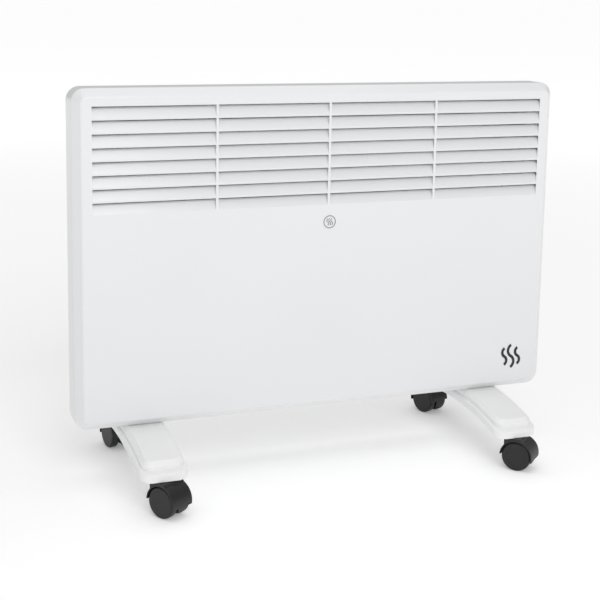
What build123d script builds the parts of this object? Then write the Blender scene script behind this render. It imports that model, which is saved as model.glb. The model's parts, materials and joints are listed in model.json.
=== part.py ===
from build123d import *
import math
import os

# Portable convector heater: a louvred steel cover on a rear tray, standing on two moulded feet
# with four twin-wheel swivel castors. Warm air leaves through the louvres; there is no fan.
# Millimetres. +X is to the right as seen from the front, the louvred face looks to -Y, +Z is up.
# The origin is on the floor, under the middle of the four castors.

# ---- driving dimensions -------------------------------------------------------------------
# body
cover_width = 619.0
cover_height = 400.0
cover_depth = 41.0
body_depth = 76.0
lift = 77.0              # floor to the underside of the cover
front_y = -35.0
sheet = 1.0
corner_radius = 16.0
bevel_width = 9.5
bevel_depth = 11.0
bend_radius = 3.0
seam = 0.05              # air left between two sheets that lie on each other

# louvres, pressed in rows of four between narrow ribs
louvre_rows = 8
louvre_pitch = 15.7
top_slot_z = lift + 380.0
louvre_half_span = 288.0
inner_rib_x = 141.0
rib_width = 3.0
strip_height = 2.2       # flat strip left between two rows
louvre_depth = 5.5       # how far a blade's upper edge is pushed in
louvre_drop = 1.8        # upper edge of the blade below the edge of its slot
louvre_end_lap = 0.3     # a blade runs this far past the ends of its slots
louvre_cheek = 0.8       # thickness of the webs that close a row's ends
cheek_share = 0.55       # part of a blade's height that a web closes at the face
bead_radius = 0.85       # rolled lower edge of each strip

# rear tray
tray_inset = 13.0
tray_radius = 12.0
tray_bevel = 5.0
tray_flange = 8.0
lip_clearance = 0.5      # air between the cover's lip and the tray's wall
wall_hole_dx = 300.0
wall_hole_dz = 240.0
wall_hole_radius = 2.5

# feet
foot_x = 226.0
foot_width = 57.0
foot_half_length = 122.0
foot_bottom_z = 58.8     # underside of the foot at its middle
foot_end_z = 42.0        # underside at its two ends; between them it bows in one arc
foot_base_height = 9.0
foot_corner = 14.0
foot_pad_width = 50.0
foot_pad_half_length = 115.0
foot_pad_height = 18.6   # the pad's crown is cut level where it carries the cover
foot_wall = 3.0
foot_seat_gap = 0.02

# castors
castor_y = 108.0
castor_trail = 10.0
wheel_radius = 18.5
wheel_inner = 5.0        # half the gap between the two wheels of a castor
wheel_outer = 15.1
axle_radius = 2.5
running_gap = 0.05
hood_inner_radius = 19.2
hood_outer_radius = 20.8
hood_half_width = 15.6
hood_top_z = 41.4
hood_flat_lead = 5.5     # level top of the hood, ahead of the stem
hood_flat_trail = 18.0   # and behind it
stem_radius = 4.0
castor_angles = {
    "front_left": -58.0,
    "front_right": -48.0,
    "rear_left": 101.0,
    "rear_right": 108.0,
}

# heating element, an aluminium profile of X section over a tubular heater
element_z = 175.0
element_half_length = 205.0
fin_reach = 33.0
fin_thickness = 1.6
rod_radius = 5.0
bracket_x = 220.0

# heat shield between the element and the tray
shield_half_width = 240.0
shield_y = 27.0
shield_sheet = 0.8
shield_low_z = 125.0
shield_high_z = 430.0

# controls on the right-hand wall of the tray
control_y = 23.0
control_low_z = 322.0
control_high_z = 448.0
panel_thickness = 2.5
knob_z = 418.0
knob_radius = 13.0
lamp_z = 395.5
rocker_z = {"low": 351.0, "high": 375.0}
rocker_tilt = 9.0        # each rocker rests tilted this far and snaps as far the other way

# ---- values that follow -------------------------------------------------------------------
body_z = lift + cover_height / 2
cover_back_y = front_y + cover_depth
back_y = front_y + body_depth
tray_width = cover_width - 2 * tray_inset
tray_height = cover_height - 2 * tray_inset
tray_bottom_z = lift + tray_inset
tray_side_x = tray_width / 2
tray_flange_y = cover_back_y - 2 * sheet - seam
shield_back_y = back_y - sheet - seam
foot_sag = foot_bottom_z - foot_end_z
foot_bow_radius = (foot_half_length ** 2 + foot_sag ** 2) / (2 * foot_sag)
panel_x = tray_side_x + seam
panel_face_x = panel_x + panel_thickness


# ---- helpers ------------------------------------------------------------------------------
def block(x0, x1, y0, y1, z0, z1):
    """A box from its low and high corners."""
    centre = Pos((x0 + x1) / 2, (y0 + y1) / 2, (z0 + z1) / 2)
    return centre * Box(x1 - x0, y1 - y0, z1 - z0)


def rod(axis, centre, start, end, radius):
    """A cylinder along X, Y or Z from start to end; centre holds the two other coordinates."""
    middle = (start + end) / 2
    length = end - start
    if axis == "X":
        return Pos(middle, *centre) * Rot(0, 90, 0) * Cylinder(radius, length)
    if axis == "Y":
        return Pos(centre[0], middle, centre[1]) * Rot(90, 0, 0) * Cylinder(radius, length)
    return Pos(*centre, middle) * Cylinder(radius, length)


def along_x(points, x0, x1):
    """A prism between x0 and x1 whose outline is given in (y, z)."""
    face = Plane.YZ.offset(x0) * make_face(Polyline(*points, close=True))
    return extrude(face, amount=x1 - x0)


def along_y(points, y0, y1):
    """A prism between y0 and y1 whose outline is given in (x, z)."""
    face = Plane.XZ.offset(-y0) * make_face(Polyline(*points, close=True))
    return extrude(face, amount=y0 - y1)


def along_z(points, z0, z1):
    """A prism between z0 and z1 whose outline is given in (x, y)."""
    face = Plane.XY.offset(z0) * make_face(Polyline(*points, close=True))
    return extrude(face, amount=z1 - z0)


def upright_face(width, height, y, radius):
    """A rounded rectangle that stands in an XZ plane, centred on the body."""
    stand = Plane(origin=(0, y, body_z), x_dir=(1, 0, 0), z_dir=(0, -1, 0))
    return stand * RectangleRounded(width, height, radius)


def upright_block(width, height, y0, y1, radius):
    """A rounded rectangle drawn out from y0 to y1."""
    return extrude(upright_face(width, height, y0, radius), amount=y0 - y1)


def pan_block(width, height, face_y, rim_y, end_y, radius, inset, bend):
    """The outside of a shallow pan: a face, a sloping border round it, and straight walls."""
    rim = upright_face(width, height, rim_y, radius)
    face = upright_face(width - 2 * inset, height - 2 * inset, face_y, radius - inset)
    shape = loft([face.face(), rim.face()], ruled=True)
    shape += extrude(rim, amount=rim_y - end_y)
    bends = [e for e in shape.edges() if on_plane_y(e, face_y) or on_plane_y(e, rim_y)]
    return fillet(bends, bend)


def on_plane_y(edge, y):
    """Whether an edge lies in the XZ plane at y."""
    box = edge.bounding_box()
    return abs(box.min.Y - y) < 1e-4 and abs(box.max.Y - y) < 1e-4


def save(name, shape):
    """Write one node of the assembly."""
    export_step(shape, f"parts/{name}.step")


# ---- sheet-metal body ---------------------------------------------------------------------
def louvre_columns():
    """The left and right ends of the four louvres in a row."""
    half = rib_width / 2
    edges = [-louvre_half_span, -inner_rib_x, 0.0, inner_rib_x, louvre_half_span]
    columns = []
    for left, right in zip(edges, edges[1:]):
        start = left if left == -louvre_half_span else left + half
        end = right if right == louvre_half_span else right - half
        columns.append((start, end))
    return columns


def louvre_blade(slot_z):
    """One row's blade: flush at its lower edge, leaning in behind the ribs to the slot above."""
    low = slot_z - (louvre_pitch - strip_height)
    high = slot_z - louvre_drop
    lean = math.atan2(louvre_depth, high - low)
    back_dy = sheet * math.cos(lean)
    back_dz = sheet * math.sin(lean)
    y = front_y
    back_low = low - back_dz + (sheet - back_dy) / math.tan(lean)
    outline = [
        (y, low - 1.1),
        (y, low),
        (y + louvre_depth, high),
        (y + louvre_depth + back_dy, high - back_dz),
        (y + sheet, back_low),
        (y + sheet, low - 1.1),
    ]
    reach = louvre_half_span + louvre_end_lap
    return along_x(outline, -reach, reach)


def louvre_cheeks(slot_z):
    """Small webs that close both ends of a row, except at the blade's upper corner."""
    low = slot_z - (louvre_pitch - strip_height)
    high = slot_z - louvre_drop
    open_from = low + cheek_share * (high - low)
    outline = [(front_y, low), (front_y + louvre_depth, high), (front_y, open_from)]
    start = louvre_half_span
    end = start + louvre_cheek
    return [along_x(outline, start, end), along_x(outline, -end, -start)]


def front_cover():
    """Pressed steel cover with its louvres, and a lip turned in round the back."""
    outer = pan_block(
        cover_width, cover_height, front_y, front_y + bevel_depth, cover_back_y,
        corner_radius, bevel_width, bend_radius,
    )
    inner = pan_block(
        cover_width - 2 * sheet, cover_height - 2 * sheet, front_y + sheet,
        front_y + bevel_depth + sheet, cover_back_y + sheet,
        corner_radius - sheet, bevel_width, bend_radius - sheet,
    )
    cover = outer - inner
    lip = upright_block(
        cover_width - sheet, cover_height - sheet, cover_back_y - sheet, cover_back_y,
        corner_radius - sheet / 2,
    )
    lip -= upright_block(
        tray_width + 2 * lip_clearance, tray_height + 2 * lip_clearance,
        cover_back_y - 2 * sheet, cover_back_y + sheet, tray_radius,
    )
    cover += lip
    windows = []
    blades = []
    for row in range(louvre_rows):
        slot_z = top_slot_z - row * louvre_pitch
        window_low = slot_z - (louvre_pitch - strip_height)
        for x0, x1 in louvre_columns():
            windows.append(block(x0, x1, front_y - 1, front_y + 3, window_low, slot_z))
        blades.append(louvre_blade(slot_z))
        blades += louvre_cheeks(slot_z)
        bead_yz = (front_y + sheet / 2, slot_z + bead_radius * 0.8)
        blades.append(rod("X", bead_yz, -louvre_half_span, louvre_half_span, bead_radius))
    cover = cover - windows
    cover = cover + blades
    holes = [rod("Y", (x, z), 0, 10, 1.6) for x, z in cover_screw_places()]
    holes += [rod("Z", (side * foot_x, foot_screw_y[0]), lift - 2, lift + 2, 2.6) for side in (-1, 1)]
    return cover - holes


def cover_screw_places():
    """Where the cover's lip is screwed to the tray's flange."""
    in_lip = tray_inset - tray_flange / 2
    half_w = cover_width / 2 - in_lip
    half_h = cover_height / 2 - in_lip
    places = [(x, body_z + half_h) for x in (-200, 0, 200)]
    places += [(x, body_z - half_h) for x in (-120, 120)]
    places += [(-half_w, body_z - 110), (-half_w, body_z + 110), (half_w, body_z - 110)]
    return places


def rear_tray():
    """Rear tray with air intakes below and behind, wall-bracket holes and the control cut-out."""
    outer = pan_block(
        tray_width, tray_height, back_y, back_y - tray_bevel, tray_flange_y,
        tray_radius, tray_bevel, bend_radius,
    )
    inner = pan_block(
        tray_width - 2 * sheet, tray_height - 2 * sheet, back_y - sheet,
        back_y - tray_bevel - sheet, tray_flange_y - sheet,
        tray_radius - sheet, tray_bevel, bend_radius - sheet,
    )
    tray = outer - inner
    flange = upright_block(
        tray_width + 2 * tray_flange, tray_height + 2 * tray_flange,
        tray_flange_y, tray_flange_y + sheet, tray_radius + tray_flange / 2,
    )
    flange -= upright_block(
        tray_width - 2 * sheet, tray_height - 2 * sheet,
        tray_flange_y - 1, tray_flange_y + sheet + 1, tray_radius - sheet,
    )
    tray += flange
    cuts = []
    for x in range(-176, 177, 32):
        for y in (15.0, 28.0):
            cuts.append(block(x - 12, x + 12, y - 4, y + 4, tray_bottom_z - 1, tray_bottom_z + 2))
    for x in range(-176, 177, 44):
        for z in (106.0, 115.0):
            cuts.append(block(x - 17, x + 17, back_y - 2, back_y + 1, z - 2.2, z + 2.2))
    for dx in (-wall_hole_dx / 2, wall_hole_dx / 2):
        for dz in (-wall_hole_dz / 2, wall_hole_dz / 2):
            cuts.append(rod("Y", (dx, body_z + dz), back_y - 3, back_y + 1, wall_hole_radius))
    cuts.append(block(
        tray_side_x - 3, tray_side_x + 1, control_y - 12.5, control_y + 12.5,
        control_low_z + 8, control_high_z - 8,
    ))
    for z in panel_screw_z:
        cuts.append(rod("X", (control_y, z), tray_side_x - 3, tray_side_x + 1, 1.6))
    for x, z in cover_screw_places():
        cuts.append(rod("Y", (x, z), 0, 10, 1.6))
    for side in (-1, 1):
        cuts.append(rod("Z", (side * foot_x, foot_screw_y[1]), tray_bottom_z - 2, tray_bottom_z + 3, 2.6))
    cuts.append(rod("Z", gland_xy, tray_bottom_z - 2, tray_bottom_z + 3, gland_thread_radius + 0.2))
    return tray - cuts


def cover_screws():
    """Pan-head screws put in from behind, through the cover's lip into the tray's flange."""
    screws = []
    for x, z in cover_screw_places():
        head = rod("Y", (x, z), cover_back_y, cover_back_y + 2.0, 3.0)
        head = fillet(head.edges().sort_by(Axis.Y)[-1], 1.2)
        head -= block(x - 2.0, x + 2.0, cover_back_y + 1.2, cover_back_y + 3, z - 0.35, z + 0.35)
        head -= block(x - 0.35, x + 0.35, cover_back_y + 1.2, cover_back_y + 3, z - 2.0, z + 2.0)
        screws.append(head + rod("Y", (x, z), tray_flange_y - 4, cover_back_y + 0.5, 1.5))
    return Compound(children=screws)


def heat_shield():
    """Bright sheet stood off the tray by its two turned edges."""
    w, t = shield_half_width, shield_sheet
    y0, y1 = shield_y, shield_back_y
    outline = [
        (-w - 10, y1), (-w - 10, y1 - t), (-w - t, y1 - t), (-w - t, y0), (w + t, y0),
        (w + t, y1 - t), (w + 10, y1 - t), (w + 10, y1), (w, y1), (w, y0 + t),
        (-w, y0 + t), (-w, y1),
    ]
    shield = along_z(outline, shield_low_z, shield_high_z)
    holes = [rod("Y", place, y0 - 1, y0 + 2, 2.1) for place in bracket_screw_places()]
    return shield - holes


# ---- heating element ----------------------------------------------------------------------
def bracket_screw_places():
    """(x, z) of the screws that hold the element's two brackets to the shield."""
    return [(side * (bracket_x + 9), element_z + dz) for side in (-1, 1) for dz in (-16, 16)]


def element_fins():
    """Aluminium profile with four fins at 45 degrees, each ending in a bead."""
    profile = rod("X", (0, element_z), -element_half_length, element_half_length, 8.0)
    for angle in (45, 135, 225, 315):
        reach = fin_reach - 1.5
        fin = Pos(0, 0, element_z) * Rot(angle, 0, 0) * Pos(0, reach / 2, 0)
        profile += fin * Box(2 * element_half_length, reach, fin_thickness)
        tip_y = reach * math.cos(math.radians(angle))
        tip_z = element_z + reach * math.sin(math.radians(angle))
        profile += rod("X", (tip_y, tip_z), -element_half_length, element_half_length, 1.5)
    bore = rod("X", (0, element_z), -element_half_length - 1, element_half_length + 1, rod_radius + 0.1)
    return profile - bore


def element_rod():
    """Tubular heater through the profile, with a terminal pin and tab at each end."""
    tube = rod("X", (0, element_z), -bracket_x - 9, bracket_x + 9, rod_radius)
    for side in (-1, 1):
        x0, x1 = sorted((side * (bracket_x + 8), side * (bracket_x + 15)))
        tube += rod("X", (0, element_z), x0, x1, 1.6)
        x0, x1 = sorted((side * (bracket_x + 14), side * (bracket_x + 22)))
        tube += block(x0, x1, -0.4, 0.4, element_z - 3.1, element_z + 3.1)
    return tube


def element_bush(side):
    """Shouldered ceramic bush between a bracket and the tubular heater."""
    body = rod("X", (0, element_z), bracket_x - 4, bracket_x + 5, 9.4)
    body += rod("X", (0, element_z), bracket_x - 4, bracket_x - seam, 12.0)
    body -= rod("X", (0, element_z), bracket_x - 5, bracket_x + 6, rod_radius + 0.1)
    return body if side > 0 else mirror(body, Plane.YZ)


def element_bracket(side):
    """Bent steel bracket screwed to the shield."""
    foot_y = shield_y - seam
    z0, z1 = element_z - 25, element_z + 25
    plate = block(bracket_x, bracket_x + 1.5, -20, foot_y, z0, z1)
    plate += block(bracket_x, bracket_x + 17, foot_y - 1.5, foot_y, z0, z1)
    plate -= rod("X", (0, element_z), bracket_x - 1, bracket_x + 3, 9.5)
    for dz in (-16, 16):
        plate -= rod("Y", (bracket_x + 9, element_z + dz), foot_y - 3, foot_y + 1, 2.1)
    return plate if side > 0 else mirror(plate, Plane.YZ)


def bracket_screws():
    """Screws through the brackets' feet into the shield."""
    screws = []
    top = shield_y - seam - 1.5
    for x, z in bracket_screw_places():
        head = rod("Y", (x, z), top - 2.4, top, 3.4)
        head = fillet(head.edges().sort_by(Axis.Y)[0], 1.2)
        screws.append(head + rod("Y", (x, z), top - 0.5, top + 6, 1.9))
    return Compound(children=screws)


cutout_xz = (70.0, element_z + 70)
cutout_front_y = 11.0
cutout_step_y = 20.0
tab_half_thickness = 0.4


def thermal_cutout():
    """Disc thermostat on the shield above the element, with two spade tabs."""
    x, z = cutout_xz
    disc = rod("Y", (x, z), cutout_front_y, cutout_step_y, 11.5)
    disc += rod("Y", (x, z), cutout_step_y, shield_y - seam, 8.5)
    for dx in (-5, 5):
        disc += block(
            x + dx - 3, x + dx + 3, cutout_front_y - 8, cutout_front_y + 0.5,
            z - tab_half_thickness, z + tab_half_thickness,
        )
    return disc


# ---- tip-over switch ----------------------------------------------------------------------
tip_x = -262.0
tip_y = 20.0
tip_pin_z = tray_bottom_z + 39.0
tip_pin_radius = 1.5


def tip_switch_body():
    """Moulded housing on the tray's floor, open front to back for the pendulum."""
    z0 = tray_bottom_z + sheet + seam
    half_x, half_y = 13.0, 9.0
    body = block(tip_x - half_x, tip_x + half_x, tip_y - half_y, tip_y + half_y, z0, z0 + 46)
    body -= block(tip_x - 6, tip_x + 6, tip_y - half_y - 1, tip_y + half_y + 1, z0 + 3, z0 + 42)
    body -= rod("X", (tip_y, tip_pin_z), tip_x - 11, tip_x + half_x + 1, tip_pin_radius + 0.02)
    tab_z = z0 + 30.4
    for dy in (-4, 4):
        body += block(
            tip_x + half_x, tip_x + half_x + 6, tip_y + dy - 2.4, tip_y + dy + 2.4,
            tab_z - tab_half_thickness, tab_z + tab_half_thickness,
        )
    return body


def tip_switch_pin():
    """Steel pin that the pendulum hangs on."""
    return rod("X", (tip_y, tip_pin_z), tip_x - 10.9, tip_x + 12.5, tip_pin_radius)


def tip_pendulum():
    """Hanging weight on its arm."""
    weight_z = tip_pin_z - 24
    arm = block(tip_x - 2, tip_x + 2, tip_y - 2, tip_y + 2, weight_z, tip_pin_z)
    arm += rod("X", (tip_y, tip_pin_z), tip_x - 5, tip_x + 5, 3.6)
    arm += rod("X", (tip_y, weight_z), tip_x - 5, tip_x + 5, 6.0)
    return arm - rod("X", (tip_y, tip_pin_z), tip_x - 6, tip_x + 6, tip_pin_radius + 0.06)


# ---- controls -----------------------------------------------------------------------------
panel_screw_z = (control_low_z + 4.5, control_high_z - 4.5)
shaft_radius = 3.0
trunnion_radius = 1.25
rocker_half_y = 7.0
rocker_half_z = 9.5
rocker_axis_x = panel_face_x - 4.2
switch_back_x = panel_x - 20.0


def control_panel():
    """Moulded plate over the cut-out in the tray's right-hand wall."""
    plate = block(
        panel_x, panel_face_x, control_y - 15.5, control_y + 15.5,
        control_low_z, control_high_z,
    )
    plate = fillet(plate.edges().filter_by(Axis.X), 5.0)
    plate = fillet(plate.faces().sort_by(Axis.X)[-1].edges(), 0.8)
    x0, x1 = panel_x - 1, panel_face_x + 1
    cuts = [rod("X", (control_y, knob_z), x0, x1, shaft_radius + 0.4)]
    cuts.append(rod("X", (control_y, lamp_z), x0, x1, 3.1))
    half_y, half_z = rocker_half_y + 0.6, rocker_half_z + 1.4
    for z in rocker_z.values():
        cuts.append(block(x0, x1, control_y - half_y, control_y + half_y, z - half_z, z + half_z))
    for z in panel_screw_z:
        cuts.append(rod("X", (control_y, z), x0, x1, 1.6))
    return plate - cuts


def control_screws():
    """Two screws that hold the control panel."""
    screws = []
    for z in panel_screw_z:
        head = rod("X", (control_y, z), panel_face_x, panel_face_x + 1.6, 2.8)
        head = fillet(head.edges().sort_by(Axis.X)[-1], 1.0)
        head -= block(
            panel_face_x + 0.8, panel_face_x + 2, control_y - 2, control_y + 2,
            z - 0.35, z + 0.35,
        )
        screws.append(head + rod("X", (control_y, z), panel_x - 6, panel_face_x + 0.5, 1.4))
    return Compound(children=screws)


def switch_body():
    """Housing for the two rocker switches, with spade tabs behind."""
    low, high = min(rocker_z.values()), max(rocker_z.values())
    body = block(switch_back_x, panel_x - seam, control_y - 11, control_y + 11, low - 13, high + 13)
    half_y, half_z = rocker_half_y + 0.5, rocker_half_z + 1.3
    for z in rocker_z.values():
        body -= block(
            panel_x - 12, panel_x + 1, control_y - half_y, control_y + half_y,
            z - half_z, z + half_z,
        )
        for side in (-1, 1):
            y0, y1 = sorted((control_y + side * 6, control_y + side * 9.4))
            body -= rod("Y", (rocker_axis_x, z), y0, y1, trunnion_radius + 0.06)
            tab_z = z + side * 5
            body += block(
                switch_back_x - 7, switch_back_x, control_y - tab_half_thickness,
                control_y + tab_half_thickness, tab_z - 2.4, tab_z + 2.4,
            )
    return body


def rocker(z):
    """One rocker with its trunnions, resting with its lower end pressed in."""
    h = rocker_half_z
    outline = [(-3.5, -7.0), (-1.0, -h), (6.2, -h), (4.4, 0), (6.2, h), (-1.0, h), (-3.5, 7.0)]
    cap = along_y(outline, -rocker_half_y, rocker_half_y)
    cap += rod("Y", (0, 0), -rocker_half_y - 2.2, rocker_half_y + 2.2, trunnion_radius)
    return Pos(rocker_axis_x, control_y, z) * Rot(0, rocker_tilt, 0) * cap


def power_lamp():
    """Small round lens with its holder behind the panel."""
    lamp = rod("X", (control_y, lamp_z), panel_x - 14, panel_face_x, 2.9)
    lens = rod("X", (control_y, lamp_z), panel_face_x, panel_face_x + 1.8, 3.8)
    return lamp + fillet(lens.edges().sort_by(Axis.X)[-1], 1.4)


def thermostat_body():
    """Bimetal thermostat behind the panel, with a bearing for the knob's shaft."""
    body = block(panel_x - 24, panel_x - seam, control_y - 11, control_y + 11, knob_z - 13, knob_z + 13)
    body -= rod("X", (control_y, knob_z), panel_x - 16, panel_x + 1, shaft_radius + running_gap)
    for dz in (-6, 6):
        body += block(
            panel_x - 31, panel_x - 24, control_y - tab_half_thickness,
            control_y + tab_half_thickness, knob_z + dz - 3, knob_z + dz + 3,
        )
    return body


def thermostat_shaft():
    """Shaft that the knob is pressed on."""
    return rod("X", (control_y, knob_z), panel_x - 15.5, panel_face_x + 8.0, shaft_radius)


def thermostat_knob():
    """Fluted round knob with a raised pointer."""
    x0, x1 = panel_face_x + 0.5, panel_face_x + 10.0
    knob = rod("X", (control_y, knob_z), x0, x1, knob_radius)
    knob = fillet(knob.edges().sort_by(Axis.X)[-1], 2.0)
    for step in range(18):
        angle = math.radians(step * 20 + 10)
        y = control_y + (knob_radius + 0.5) * math.cos(angle)
        z = knob_z + (knob_radius + 0.5) * math.sin(angle)
        knob -= rod("X", (y, z), x0 + 2.0, x1 + 1, 1.4)
    knob += block(x1 - 1, x1 + 0.5, control_y - 0.8, control_y + 0.8, knob_z + 2, knob_z + 10.5)
    return knob - rod("X", (control_y, knob_z), x0 - 1, panel_face_x + 8.1, shaft_radius)


# ---- mains inlet and wiring ---------------------------------------------------------------
gland_xy = (268.0, 22.0)
gland_thread_radius = 6.0
wire_radius = 1.2
block_ways_x = (259.0, 270.0, 281.0)
block_front_y = 27.0
block_wire_y = 33.5
block_low_z = 120.0
block_high_z = 134.0


def cable_gland():
    """Inlet gland under the tray: flange, hexagon and threaded neck, with the cable's bore."""
    x, y = gland_xy
    z0 = tray_bottom_z
    body = Pos(x, y, z0 - 3) * extrude(RegularPolygon(8.5, 6), amount=3 - seam)
    body += rod("Z", gland_xy, z0 - 9, z0 - 3, 6.2)
    body += rod("Z", gland_xy, z0 - 3, z0 + 9, gland_thread_radius)
    return body - rod("Z", gland_xy, z0 - 10, z0 + 10, 3.6)


def gland_nut():
    """Thin hexagon nut inside the tray."""
    x, y = gland_xy
    z0 = tray_bottom_z + sheet + seam
    nut = Pos(x, y, z0) * extrude(RegularPolygon(9.0, 6), amount=4)
    return nut - rod("Z", gland_xy, z0 - 1, z0 + 5, gland_thread_radius + 0.05)


def terminal_block():
    """Three-way terminal block on the tray's back wall."""
    low, high = block_low_z, block_high_z
    x0, x1 = block_ways_x[0] - 7, block_ways_x[-1] + 7
    body = block(x0, x1, block_front_y, shield_back_y, low, high)
    for x in block_ways_x:
        body -= rod("Z", (x, block_wire_y), low - 1, high + 1, 2.0)
        body -= rod("Y", (x, (low + high) / 2), block_front_y - 1, block_wire_y - 0.5, 2.4)
    return body


def wire(points):
    """One insulated wire: straight runs joined by tangent arcs."""
    radii = []
    for a, b, c in zip(points, points[1:], points[2:]):
        before, after = Vector(*b) - Vector(*a), Vector(*c) - Vector(*b)
        turn = math.radians(before.get_angle(after))
        radii.append(0.45 * min(before.length, after.length) / math.tan(turn / 2))
    path = FilletPolyline(*points, radius=radii)
    start = Plane(origin=path @ 0, z_dir=path % 0)
    return sweep(start * Circle(wire_radius), path=path)


def internal_wires():
    """The wires from the terminal block up to the switches, thermostat and element."""
    first, second = block_ways_x[:2]
    to_switch = [
        (first, block_wire_y, block_high_z), (first, block_wire_y, 165), (258, 31, 215),
        (260, 26, 265), (264, control_y, 310),
        (switch_back_x - 3.5, control_y, min(rocker_z.values()) - 8.2),
    ]
    to_element = [
        (second, block_wire_y, block_high_z), (second, 33, 150), (262, 24, 166),
        (250, 8, 174), (bracket_x + 22.8, 0, element_z),
    ]
    return Compound(children=[wire(to_switch), wire(to_element)])


# ---- feet ---------------------------------------------------------------------------------
foot_screw_y = (-9.0, 22.0)
foot_cell_spans = [(-94, -66), (-66, -40), (-40, -19), (1, 12), (32, 50), (50, 72), (72, 94)]


def foot_underside_z(y):
    """Height of the foot's lower edge, which bows down to both ends."""
    return foot_bottom_z - foot_bow_radius + math.sqrt(foot_bow_radius ** 2 - y ** 2)


def foot_layer(half_length, height, width, corner):
    """One layer of the foot: bowed below and above, with its corners rounded in plan."""
    low = foot_underside_z(half_length)
    high = low + height
    outline = [
        ThreePointArc((-half_length, low), (0, foot_bottom_z), (half_length, low)),
        Line((half_length, low), (half_length, high)),
        ThreePointArc((half_length, high), (0, foot_bottom_z + height), (-half_length, high)),
        Line((-half_length, high), (-half_length, low)),
    ]
    face = Plane.YZ.offset(-width / 2) * make_face(outline)
    layer = extrude(face, amount=width)
    return fillet(layer.edges().filter_by(Axis.Z), corner)


def foot(side):
    """Moulded foot: a base with a raised pad, hollow below, and a step that meets the tray."""
    base = foot_layer(foot_half_length, foot_base_height, foot_width, foot_corner)
    base = fillet(base.faces().sort_by(Axis.Z)[-1].edges(), 2.2)
    pad = foot_layer(foot_pad_half_length, foot_pad_height, foot_pad_width, foot_corner - 2)
    pad = chamfer(pad.faces().sort_by(Axis.Z)[-1].edges(), 4.5)
    seat_z = lift - foot_seat_gap
    pad -= block(-40, 40, -40, 40, seat_z, seat_z + 5)
    shape = base + pad
    shape += block(-18, 18, 9, 33, 70, tray_bottom_z - foot_seat_gap)
    shape -= foot_cells()
    for end in (-castor_y, castor_y):
        shape -= rod("Z", (0, end), 30, socket_top_z + seam, socket_radius + 0.02)
    for y, top_z in zip(foot_screw_y, (lift, tray_bottom_z)):
        shape -= rod("Z", (0, y), 50, top_z + 1, 2.6)
        shape -= rod("Z", (0, y), 50, top_z - foot_wall - 1, 5.0)
    return Pos(side * foot_x, 0, 0) * shape


def foot_cells():
    """Pockets moulded into the underside, with ribs left between them and round the screws."""
    cells = []
    half_rib = 1.2
    below = foot_end_z - 10
    layers = [
        (foot_width / 2 - foot_wall, foot_base_height - foot_wall),
        (foot_pad_width / 2 - 8, foot_pad_height - foot_wall),
    ]
    for y0, y1 in foot_cell_spans:
        low, high = y0 + half_rib, y1 - half_rib
        for half_width, rise in layers:
            low_top = foot_underside_z(low) + rise
            high_top = foot_underside_z(high) + rise
            outline = [(low, below), (high, below), (high, high_top), (low, low_top)]
            cells.append(along_x(outline, -half_width, half_width))
    return cells


def foot_screws():
    """Screws up through the feet into the cover and the tray."""
    screws = []
    for side in (-1, 1):
        for y, top_z in zip(foot_screw_y, (lift, tray_bottom_z)):
            place = (side * foot_x, y)
            head_z = top_z - foot_wall - 1
            head = rod("Z", place, head_z - 3, head_z, 4.4)
            head = fillet(head.edges().sort_by(Axis.Z)[0], 1.2)
            screws.append(head + rod("Z", place, head_z - 0.5, top_z + 7, 2.3))
    return Compound(children=screws)


# ---- castors ------------------------------------------------------------------------------
socket_radius = 5.6
socket_low_z = 43.0
socket_top_z = 56.2
collar_radius = 5.4
stem_top_z = 54.8


def at_castor(name, shape):
    """Turn a castor part about its stem and set it under its end of a foot."""
    side = -1 if name.endswith("left") else 1
    end = -1 if name.startswith("front") else 1
    return Pos(side * foot_x, end * castor_y, 0) * Rot(0, 0, castor_angles[name]) * shape


def castor_socket():
    """Sleeve pressed into the foot, closed above."""
    sleeve = rod("Z", (0, 0), socket_low_z, socket_top_z, socket_radius)
    sleeve -= rod("Z", (0, 0), socket_low_z - 1, stem_top_z + 0.3, stem_radius + running_gap)
    return sleeve


def castor_stem():
    """Steel stem with a collar that carries the load and a thin tail in the hood."""
    stem = rod("Z", (0, 0), hood_top_z + seam, stem_top_z, stem_radius)
    stem += rod("Z", (0, 0), hood_top_z + seam, socket_low_z - 0.1, collar_radius)
    stem += rod("Z", (0, 0), 27.0, hood_top_z + 1, 2.2)
    return stem


def castor_hood():
    """Hood over both wheels, with the web between them that holds the axle and the stem."""
    centre = (castor_trail, wheel_radius)
    ring = rod("Y", centre, -hood_half_width, hood_half_width, hood_outer_radius)
    ring -= rod("Y", centre, -hood_half_width - 1, hood_half_width + 1, hood_inner_radius)
    x, z = centre
    far = 60.0
    lead = math.radians(177)
    trail_end = math.radians(-12)
    below = [
        (x, z),
        (x + far * math.cos(lead), z + far * math.sin(lead)),
        (x - far, z - far),
        (x + far, z - far),
        (x + far * math.cos(trail_end), z + far * math.sin(trail_end)),
    ]
    ring -= along_y(below, -hood_half_width - 2, hood_half_width + 2)
    web_half = wheel_inner - 0.6
    web = rod("Y", centre, -web_half, web_half, hood_inner_radius + 0.5)
    web -= block(x - far, x + far, -web_half - 1, web_half + 1, -far, 9.0)
    top = block(
        -hood_flat_lead, hood_flat_trail, -hood_half_width, hood_half_width, z, hood_top_z,
    )
    across = top.edges().filter_by(Axis.Y).group_by(Axis.Z)[-1].sort_by(Axis.X)
    top = fillet(across[-1], 4.5)
    top = fillet(top.edges().filter_by(Axis.Y).group_by(Axis.Z)[-1].sort_by(Axis.X)[0], 0.8)
    keep_out = rod("Y", centre, -hood_half_width - 2, hood_half_width + 2, hood_inner_radius)
    hood = ring + (top - keep_out) + web
    hood -= rod("Z", (0, 0), 26.9, hood_top_z + 1, 2.2)
    return hood - rod("Y", centre, -web_half - 1, web_half + 1, axle_radius)


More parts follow.
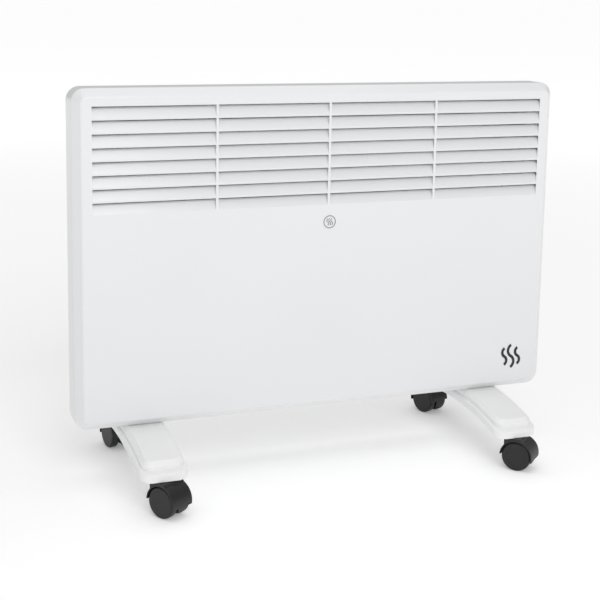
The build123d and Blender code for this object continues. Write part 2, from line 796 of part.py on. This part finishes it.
def castor_axle():
    """Steel axle held by the web, with both wheels running on its ends."""
    return rod("Y", (castor_trail, wheel_radius), -wheel_outer + 2.6, wheel_outer - 2.6, axle_radius)


def castor_wheel(side):
    """Cup-shaped wheel with a rounded tread, a hub and a plain outer face."""
    centre = (castor_trail, wheel_radius)
    y0, y1 = wheel_inner, wheel_outer
    wheel = rod("Y", centre, y0, y1, wheel_radius)
    wheel = fillet(wheel.edges().sort_by(Axis.Y)[-1], 2.5)
    wheel = fillet(wheel.edges().sort_by(Axis.Y)[0], 2.0)
    cup = rod("Y", centre, y0 - 1, y0 + 7.5, 15.5)
    cup -= rod("Y", centre, y0 - 2, y0 + 8.5, 5.0)
    wheel -= cup
    wheel -= rod("Y", centre, y0 - 1, y1 - 2.4, axle_radius + running_gap)
    return wheel if side > 0 else mirror(wheel, Plane.XZ)


# ---- write every node ---------------------------------------------------------------------
def main():
    os.makedirs("parts", exist_ok=True)
    save("front_cover", front_cover())
    save("rear_tray", rear_tray())
    save("cover_screws", cover_screws())
    save("heat_shield", heat_shield())
    save("element_fins", element_fins())
    save("element_rod", element_rod())
    for name, side in (("left", -1), ("right", 1)):
        save(f"element_bush_{name}", element_bush(side))
        save(f"element_bracket_{name}", element_bracket(side))
        save(f"foot_{name}", foot(side))
    save("bracket_screws", bracket_screws())
    save("thermal_cutout", thermal_cutout())
    save("tip_switch_body", tip_switch_body())
    save("tip_switch_pin", tip_switch_pin())
    save("tip_pendulum", tip_pendulum())
    save("control_panel", control_panel())
    save("control_screws", control_screws())
    save("switch_body", switch_body())
    for name, z in rocker_z.items():
        save(f"rocker_{name}", rocker(z))
    save("power_lamp", power_lamp())
    save("thermostat_body", thermostat_body())
    save("thermostat_shaft", thermostat_shaft())
    save("thermostat_knob", thermostat_knob())
    save("cable_gland", cable_gland())
    save("gland_nut", gland_nut())
    save("terminal_block", terminal_block())
    save("internal_wires", internal_wires())
    save("foot_screws", foot_screws())
    for name in castor_angles:
        save(f"castor_socket_{name}", at_castor(name, castor_socket()))
        save(f"castor_stem_{name}", at_castor(name, castor_stem()))
        save(f"castor_hood_{name}", at_castor(name, castor_hood()))
        save(f"castor_axle_{name}", at_castor(name, castor_axle()))
        save(f"castor_wheel_{name}_a", at_castor(name, castor_wheel(1)))
        save(f"castor_wheel_{name}_b", at_castor(name, castor_wheel(-1)))


main()
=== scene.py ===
import json
import math

import bmesh
import bpy
from mathutils import Matrix, Vector


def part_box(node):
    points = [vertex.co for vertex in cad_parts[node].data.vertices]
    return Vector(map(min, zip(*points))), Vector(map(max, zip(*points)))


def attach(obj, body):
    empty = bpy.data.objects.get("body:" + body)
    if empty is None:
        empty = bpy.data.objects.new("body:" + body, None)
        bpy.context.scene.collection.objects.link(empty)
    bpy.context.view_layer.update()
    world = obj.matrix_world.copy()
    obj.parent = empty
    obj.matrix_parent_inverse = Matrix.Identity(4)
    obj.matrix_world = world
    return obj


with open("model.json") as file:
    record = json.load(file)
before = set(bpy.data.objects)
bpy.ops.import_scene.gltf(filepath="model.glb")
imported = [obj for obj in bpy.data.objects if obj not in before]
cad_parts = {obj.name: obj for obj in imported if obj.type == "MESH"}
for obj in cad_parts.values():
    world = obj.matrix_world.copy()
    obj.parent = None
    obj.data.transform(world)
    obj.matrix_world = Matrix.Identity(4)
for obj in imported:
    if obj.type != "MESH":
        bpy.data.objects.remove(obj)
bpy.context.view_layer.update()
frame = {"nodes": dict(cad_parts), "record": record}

nodes = frame["nodes"]

# ---- colour and shader helpers ---------------------------------------------------------------


def srgb(hex_colour):
    """An opaque linear colour from an sRGB hex value."""
    channels = [int(hex_colour[i:i + 2], 16) / 255 for i in (1, 3, 5)]
    linear = [c / 12.92 if c <= 0.04045 else ((c + 0.055) / 1.055) ** 2.4 for c in channels]
    return (*linear, 1.0)


def per_metre(size_mm):
    """The texture scale at which one cell of a pattern is size_mm across."""
    return 1000.0 / size_mm


def add(tree, kind, inputs=None, **settings):
    """Add a shader node, set its settings, and set or link its inputs."""
    made = tree.nodes.new(kind)
    for name, value in settings.items():
        setattr(made, name, value)
    for name, value in (inputs or {}).items():
        if isinstance(value, bpy.types.NodeSocket):
            tree.links.new(value, made.inputs[name])
        else:
            made.inputs[name].default_value = value
    return made


def new_material(name):
    """An empty material with its principled shader and object coordinates."""
    mat = bpy.data.materials.new(name)
    mat.use_nodes = True
    tree = mat.node_tree
    tree.nodes.clear()
    shader = add(tree, "ShaderNodeBsdfPrincipled")
    out = add(tree, "ShaderNodeOutputMaterial")
    tree.links.new(shader.outputs["BSDF"], out.inputs["Surface"])
    coords = add(tree, "ShaderNodeTexCoord").outputs["Object"]
    return mat, tree, shader, coords


def set_shader(shader, **values):
    """Set the shader's own sockets; underscores in a name stand for spaces."""
    for name, value in values.items():
        shader.inputs[name.replace("_", " ")].default_value = value


def noise(tree, coords, cell_mm, detail):
    """A noise pattern whose cells are cell_mm across."""
    made = add(tree, "ShaderNodeTexNoise", {
        "Vector": coords, "Scale": per_metre(cell_mm), "Detail": detail,
    })
    return made.outputs["Fac"]


def ramp(tree, factor, low, high, low_value, high_value):
    """Map a texture's value between low and high onto a range."""
    made = add(tree, "ShaderNodeMapRange", {
        "Value": factor, "From Min": low, "From Max": high,
        "To Min": low_value, "To Max": high_value,
    })
    return made.outputs["Result"]


def bump(tree, shader, height, distance_mm):
    """Give the shader a bump of the given real height."""
    made = add(tree, "ShaderNodeBump", {
        "Height": height, "Distance": distance_mm / 1000.0, "Strength": 1.0,
    })
    tree.links.new(made.outputs["Normal"], shader.inputs["Normal"])


def tint(tree, shader, factor, dark, light):
    """Let the base colour wander between two close shades."""
    mix = add(tree, "ShaderNodeMix", {"Factor": factor}, data_type="RGBA")
    mix.inputs["A"].default_value = srgb(dark)
    mix.inputs["B"].default_value = srgb(light)
    tree.links.new(mix.outputs["Result"], shader.inputs["Base Color"])


def roughen(tree, shader, factor, roughness, spread):
    """Let the roughness wander by spread either way, over the values a noise mostly takes."""
    rough = ramp(tree, factor, 0.3, 0.7, roughness - spread, roughness + spread)
    tree.links.new(rough, shader.inputs["Roughness"])


# ---- finishes --------------------------------------------------------------------------------


def powder_coat(name, dark, light, roughness):
    """Baked polyester powder on steel: a thick smooth film with a faint orange peel."""
    peel_mm, peel_height_mm, cloud_mm = 2.6, 0.006, 140
    mat, tree, shader, coords = new_material(name)
    peel = noise(tree, coords, peel_mm, 2.0)
    cloud = noise(tree, coords, cloud_mm, 1.0)
    tint(tree, shader, cloud, dark, light)
    bump(tree, shader, peel, peel_height_mm)
    set_shader(shader, Roughness=roughness, IOR=1.5, Coat_Weight=0.25, Coat_Roughness=0.12)
    return mat


def moulded(name, dark, light, roughness):
    """Injection-moulded plastic with a fine spark-eroded grain, drawn a little coarser to show."""
    grain_mm, grain_height_mm, flow_mm = 0.7, 0.03, 45
    mat, tree, shader, coords = new_material(name)
    grain = noise(tree, coords, grain_mm, 3.0)
    flow = noise(tree, coords, flow_mm, 2.0)
    tint(tree, shader, flow, dark, light)
    roughen(tree, shader, grain, roughness, 0.06)
    bump(tree, shader, grain, grain_height_mm)
    set_shader(shader, IOR=1.49)
    return mat


def metal(name, dark, light, roughness, streak=(1, 1, 1)):
    """Bare or plated metal; streaks follow the way it was rolled or drawn."""
    streak_mm, streak_height_mm = 1.5, 0.01
    mat, tree, shader, coords = new_material(name)
    stretch = add(tree, "ShaderNodeMapping", {"Vector": coords, "Scale": streak})
    lines = noise(tree, stretch.outputs["Vector"], streak_mm, 3.0)
    tint(tree, shader, lines, dark, light)
    roughen(tree, shader, lines, roughness, 0.08)
    bump(tree, shader, lines, streak_height_mm)
    set_shader(shader, Metallic=1.0)
    return mat


finishes = {
    # a cool white film, glossy enough to pick up the soft light along every bend
    "cover_paint": powder_coat("powder-coated steel, gloss white", "#E6E7E8", "#E9EAEB", 0.28),
    # the same white, duller on the side that faces a wall
    "tray_paint": powder_coat("powder-coated steel, satin white", "#E2E3E3", "#E6E7E7", 0.42),
    # a shade brighter than the steel, its highlights broken up by the mould's grain
    "foot_plastic": moulded("polypropylene, white", "#F0F0F0", "#F4F4F4", 0.42),
    # near black, with a soft grey sheen round the hoods and treads
    "castor_nylon": moulded("nylon, black", "#101012", "#161618", 0.45),
    # milky sleeves, seen only where the stems enter the feet
    "socket_plastic": moulded("acetal, natural", "#CFCFC9", "#D8D8D2", 0.4),
    # clean grey glints on stems and axles
    "bright_steel": metal("steel, turned", "#9C9DA0", "#B4B5B8", 0.3),
    # cloudy bluish plating on screws and brackets
    "zinc_steel": metal("steel, zinc plated", "#A8ABAF", "#C6C9CC", 0.32),
    # a bright sheet with long rolling lines that throws light back through the louvres
    "shield_sheet": metal("aluminised sheet, rolled", "#B9BBBD", "#D2D3D5", 0.3, (0.05, 1, 1)),
    # dull silver with die lines along the profile
    "fin_aluminium": metal("aluminium, extruded", "#A5A7AA", "#BDBFC1", 0.4, (0.03, 1, 1)),
    # browned by heat, darkest metal in the part
    "sheath_steel": metal("steel sheath, heat darkened", "#5A5450", "#74706B", 0.45, (0.1, 1, 1)),
    # chalky cream, no shine
    "ceramic": moulded("steatite ceramic", "#DDD6C6", "#E6E0D2", 0.5),
    # brown-black switch and thermostat bodies
    "phenolic": moulded("phenolic, black", "#1A1815", "#242220", 0.4),
    # a satin white that matches the tray
    "panel_plastic": moulded("ABS, white", "#E6E6E5", "#ECECEB", 0.4),
    # mid grey, so that the knob stands out from the panel
    "knob_plastic": moulded("ABS, grey", "#8B8D90", "#979A9C", 0.38),
    # polished black with sharp small highlights
    "rocker_plastic": moulded("polycarbonate, black", "#151516", "#1C1C1E", 0.2),
    # glossy orange, unlit
    "lamp_lens": moulded("polycarbonate, amber", "#C2430E", "#DB5A1A", 0.12),
    # charcoal gland and nut under the tray
    "gland_nylon": moulded("nylon, dark grey", "#2C2C2E", "#353538", 0.45),
    # off-white block with dark wire holes
    "block_plastic": moulded("nylon, natural", "#D9D9D2", "#E1E1DA", 0.4),
    # dull red-brown rubbery sleeve
    "wire_insulation": moulded("silicone sleeve", "#5B2A12", "#6B3417", 0.5),
}
for part in frame["record"]["subparts"]:
    piece = nodes[part["node"]]
    piece.data.materials.clear()
    piece.data.materials.append(finishes[part["material_slot"]])

# ---- printed marks ---------------------------------------------------------------------------
film = 0.00005           # thickness of the print
bite = 0.00002           # how far it sits in the surface below


def screen_ink(name, dark, light):
    """Screen-printed ink: matt, with slightly uneven cover, so a mark isn't one dead tone."""
    cover_mm, cover_height_mm = 1.6, 0.004
    mat, tree, shader, coords = new_material(name)
    cover = noise(tree, coords, cover_mm, 3.0)
    tint(tree, shader, cover, dark, light)
    roughen(tree, shader, cover, 0.55, 0.07)
    bump(tree, shader, cover, cover_height_mm)
    return mat


def ribbon(form, start, heading, width, moves):
    """A flat line on the XZ plane: one short edge swung round one centre after another."""
    turn_axis = Vector((0, -1, 0))
    step_degrees = 9
    middle = Vector(start)
    left = Vector((-math.sin(heading), 0, math.cos(heading)))
    half = left * width / 2
    edges = [form.edges.new([form.verts.new(middle + half), form.verts.new(middle - half)])]
    for radius, degrees in moves:
        angle = math.radians(degrees)
        centre = middle + left * math.copysign(radius, degrees)
        swung = bmesh.ops.spin(
            form, geom=edges + [v for e in edges for v in e.verts], cent=centre, axis=turn_axis,
            angle=angle, steps=max(3, round(abs(degrees) / step_degrees)),
            use_merge=False,
        )
        edges = [g for g in swung["geom_last"] if isinstance(g, bmesh.types.BMEdge)]
        turn = Matrix.Rotation(angle, 3, turn_axis)
        middle = centre + turn @ (middle - centre)
        left = turn @ left


def thicken(form, direction):
    """Turn flat faces into a thin closed film."""
    weld_distance = 1e-6
    bmesh.ops.remove_doubles(form, verts=form.verts, dist=weld_distance)
    drawn = bmesh.ops.extrude_face_region(form, geom=form.faces[:], use_keep_orig=True)
    lifted = [g for g in drawn["geom"] if isinstance(g, bmesh.types.BMVert)]
    bmesh.ops.translate(form, verts=lifted, vec=direction * (film + bite))
    bmesh.ops.recalc_face_normals(form, faces=form.faces)


def printed(name, form, ink, body):
    """Finish a mark: its mesh, its ink, and the body it rides on."""
    mesh = bpy.data.meshes.new(name)
    form.to_mesh(mesh)
    form.free()
    mesh.materials.append(ink)
    mark = bpy.data.objects.new(name, mesh)
    bpy.context.collection.objects.link(mark)
    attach(mark, body)


def wave(form, start, height, width):
    """One rising heat wave, an S of two equal arcs."""
    swing = 60  # how far the line leans from upright where it crosses the middle
    radius = height / (4 * math.sin(math.radians(swing)))
    ribbon(
        form, start, math.radians(90 - swing), width,
        [(radius, 2 * swing), (radius, -2 * swing)],
    )


def front_marks():
    """A small care sign under the louvres and a larger heat mark in the lower corner."""
    low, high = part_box("front_cover")
    y = low[1] + bite
    out = Vector((0, -1, 0))

    sign = bmesh.new()
    ring_radius, ring_width = 0.0075, 0.0009
    small_pitch, small_height, small_width = 0.0026, 0.008, 0.0008
    right_of_middle, above_edge = 0.0015, 0.235
    x = (low[0] + high[0]) / 2 + right_of_middle
    z = low[2] + above_edge
    ribbon(sign, (x + ring_radius, y, z), math.radians(90), ring_width, [(ring_radius, 360)])
    for dx in (-small_pitch, 0.0, small_pitch):
        wave(sign, (x + dx, y, z - small_height / 2), small_height, small_width)
    thicken(sign, out)
    printed("care_sign", sign, inks["grey"], "heater")

    heat = bmesh.new()
    large_pitch, outer_height, middle_height, large_width = 0.0095, 0.022, 0.030, 0.0036
    from_side, above_edge = 0.0475, 0.043
    x = high[0] - from_side
    z = low[2] + above_edge
    for dx, height in (
        (-large_pitch, outer_height), (0.0, middle_height), (large_pitch, outer_height),
    ):
        wave(heat, (x + dx, y, z - height / 2), height, large_width)
    thicken(heat, out)
    printed("heat_mark", heat, inks["black"], "heater")


def upright_bar(form, width, length):
    """A small flat rectangle at the origin of the YZ plane, its length along Z."""
    stand = Matrix(((0, 0, 1), (1, 0, 0), (0, 1, 0)))  # from the XY plane onto the YZ plane
    bar = bmesh.ops.create_grid(form, x_segments=1, y_segments=1, size=0.5)["verts"]
    bmesh.ops.scale(form, verts=bar, vec=(width, length, 1))
    bmesh.ops.rotate(form, verts=bar, cent=(0, 0, 0), matrix=stand)
    return bar


def panel_marks():
    """Ticks round the knob, and one or two bars beside each rocker."""
    tick_count, tick_sweep, tick_circle = 10, 270, 0.01425
    tick_width, tick_length = 0.0004, 0.0009
    bar_width, bar_length, bar_inset, bar_pitch = 0.0006, 0.005, 0.0035, 0.0016
    panel_low, panel_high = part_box("control_panel")
    knob_low, knob_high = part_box("thermostat_knob")
    x = panel_high[0] - bite
    centre = Vector((x, (knob_low[1] + knob_high[1]) / 2, (knob_low[2] + knob_high[2]) / 2))
    form = bmesh.new()
    for step in range(tick_count):
        degrees = -tick_sweep / 2 + tick_sweep / (tick_count - 1) * step
        turn = Matrix.Rotation(math.radians(degrees), 3, "X")
        tick = upright_bar(form, tick_width, tick_length)
        bmesh.ops.translate(form, verts=tick, vec=(0, 0, tick_circle))
        bmesh.ops.rotate(form, verts=tick, cent=(0, 0, 0), matrix=turn)
        bmesh.ops.translate(form, verts=tick, vec=centre)
    for node, bars in (("rocker_low", 1), ("rocker_high", 2)):
        low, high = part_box(node)
        for place in range(bars):
            y = panel_low[1] + bar_inset + bar_pitch * place
            bar = upright_bar(form, bar_width, bar_length)
            bmesh.ops.translate(form, verts=bar, vec=(x, y, (low[2] + high[2]) / 2))
    thicken(form, Vector((1, 0, 0)))
    printed("panel_marks", form, inks["grey"], "heater")


inks = {
    # a soft grey line that reads only from close by
    "grey": screen_ink("screen ink, grey", "#7C7E80", "#86888A"),
    # the one strong dark note on the white front
    "black": screen_ink("screen ink, black", "#1E1F21", "#2A2B2D"),
}
front_marks()
panel_marks()

# ---- floor, light and camera -----------------------------------------------------------------


def studio():
    """A white floor with a painted glow, dim near the heater and brighter far off, under an even
    sky, with one soft light overhead and one in front.
    """
    floor_half, cloud_mm = 300.0, 900
    near, far, near_glow, far_glow = 0.6, 4.0, 0.24, 0.58
    sky_strength = 0.42
    lit_point = Vector((0, 0, 0.25))
    floor = bpy.data.meshes.new("floor")
    form = bmesh.new()
    bmesh.ops.create_grid(form, x_segments=2, y_segments=2, size=floor_half)
    form.to_mesh(floor)
    form.free()
    ground = bpy.data.objects.new("floor", floor)
    bpy.context.collection.objects.link(ground)
    mat, tree, shader, coords = new_material("white floor with painted glow rising with distance")
    tint(tree, shader, noise(tree, coords, cloud_mm, 2.0), "#F8F8F8", "#FAFAFA")
    # painted light: the floor's emission rises with distance from the heater, dim under it and
    # bright far off, so the far floor reads white
    away = add(tree, "ShaderNodeVectorMath", {0: coords}, operation="LENGTH").outputs["Value"]
    glow = ramp(tree, away, near, far, near_glow, far_glow)
    tree.links.new(glow, shader.inputs["Emission Strength"])
    set_shader(shader, Roughness=0.9, Emission_Color=(1, 1, 1, 1))
    floor.materials.append(mat)
    world = bpy.data.worlds.new("studio")
    bpy.context.scene.world = world
    world.use_nodes = True
    sky = world.node_tree.nodes["Background"]
    sky.inputs["Color"].default_value = (1, 1, 1, 1)
    sky.inputs["Strength"].default_value = sky_strength
    for name, place, size, power in (
        ("ceiling", (0.0, -0.4, 3.2), 3.0, 27.0),
        ("front", (-0.2, -3.6, 2.6), 2.0, 53.0),
    ):
        lamp = bpy.data.lights.new(name, "AREA")
        lamp.size = size
        lamp.energy = power
        holder = bpy.data.objects.new(name, lamp)
        bpy.context.collection.objects.link(holder)
        holder.location = place
        holder.rotation_mode = "QUATERNION"
        aim = lit_point - Vector(place)
        holder.rotation_quaternion = aim.to_track_quat("-Z", "Y")


def camera():
    """Standing eye-level view from the front left, with a little lens shift and roll."""
    yaw, pitch, roll = (math.radians(v) for v in (20.93, 9.57, 0.98))
    stand_point = (-0.5701, -1.4277, 0.5919)
    ahead = Vector((
        math.sin(yaw) * math.cos(pitch), math.cos(yaw) * math.cos(pitch), -math.sin(pitch),
    ))
    right = Vector((math.cos(yaw), -math.sin(yaw), 0))
    up = right.cross(ahead)
    right, up = (
        right * math.cos(roll) + up * math.sin(roll),
        up * math.cos(roll) - right * math.sin(roll),
    )
    eye = bpy.data.cameras.new("camera")
    eye.sensor_width = 36.0
    eye.lens = 75.65
    eye.shift_y = -1 / 6
    holder = bpy.data.objects.new("camera", eye)
    bpy.context.collection.objects.link(holder)
    turn = Matrix((right, up, -ahead)).transposed()
    holder.matrix_world = Matrix.Translation(stand_point) @ turn.to_4x4()
    bpy.context.scene.camera = holder


studio()
camera()
bpy.context.scene.view_settings.view_transform = "Standard"
